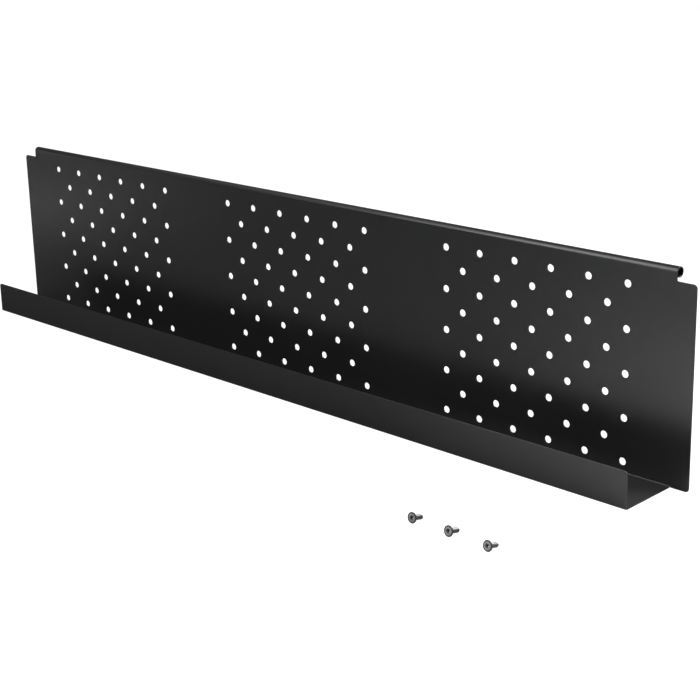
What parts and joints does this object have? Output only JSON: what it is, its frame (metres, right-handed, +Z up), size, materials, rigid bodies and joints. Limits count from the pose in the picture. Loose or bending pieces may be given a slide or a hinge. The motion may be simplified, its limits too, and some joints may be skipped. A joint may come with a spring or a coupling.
{
  "type": "perforated back panel with tray",
  "caption": "Long upright perforated sheet-steel panel with a rolled top edge and a shallow folded tray along its foot, lying with its loose fastening screws.",
  "frame": {"origin": "middle of the tray's underside, which is the surface the part stands on", "axes": "+X along the panel's length, +Y towards the panel's back face, +Z up; the tray's lip faces -Y"},
  "size_m": [1.1786, 0.2636, 0.2408],
  "materials": {
    "powder_coat": "satin black powder coat on sheet steel",
    "screw_steel": "dark plated steel, lightly worn"
  },
  "bodies": {
    "panel": {"perforated_tray_panel": "powder_coat"},
    "screw_left": {"screw_left": "screw_steel"},
    "screw_middle": {"screw_middle": "screw_steel"},
    "screw_right": {"screw_right": "screw_steel"}
  },
  "joints": [
    {"name": "lift_screw_left", "type": "slide", "parent": "panel", "child": "screw_left", "axis": [0, 0, 1], "range_m": [0, 0.1]},
    {"name": "lift_screw_middle", "type": "slide", "parent": "panel", "child": "screw_middle", "axis": [0, 0, 1], "range_m": [0, 0.1]},
    {"name": "lift_screw_right", "type": "slide", "parent": "panel", "child": "screw_right", "axis": [0, 0, 1], "range_m": [0, 0.1]}
  ]
}
